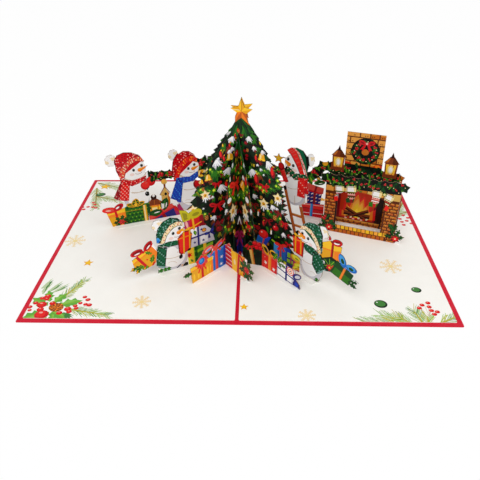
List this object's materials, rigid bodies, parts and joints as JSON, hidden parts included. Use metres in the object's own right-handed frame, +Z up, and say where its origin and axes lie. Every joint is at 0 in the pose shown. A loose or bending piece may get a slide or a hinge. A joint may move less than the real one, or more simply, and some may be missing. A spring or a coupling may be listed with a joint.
{
  "type": "pop up card",
  "caption": "Open pop-up greeting card with a standing decorated tree, snowmen, gifts, garlands and a fireplace on printed pages.",
  "frame": {"origin": "middle of the underside of the open card, on the spine", "axes": "+X to the right page, +Y away from the reader, +Z up from the table"},
  "size_m": [0.3, 0.2, 0.1251],
  "materials": {
    "cover_card": "satin crimson card",
    "page_print": "satin printed paper, cream ground",
    "tree_print": "gloss printed card, dark green ground",
    "scene_print": "gloss printed card, many colours",
    "snowman_print": "gloss printed card, white ground",
    "hearth_print": "gloss printed card, brick red ground",
    "gift_print": "gloss printed card, many colours"
  },
  "bodies": {
    "root": {"card_cover": "cover_card", "left_page": "page_print", "right_page": "page_print", "tree_front": "tree_print", "tree_back": "tree_print", "tree_front_wings": "tree_print", "tree_back_wings": "tree_print", "back_scene": "scene_print", "ladder_snowman": "snowman_print", "fireplace_front": "hearth_print", "gift_fence_left": "gift_print", "gift_fence_right": "gift_print"}
  },
  "joints": []
}
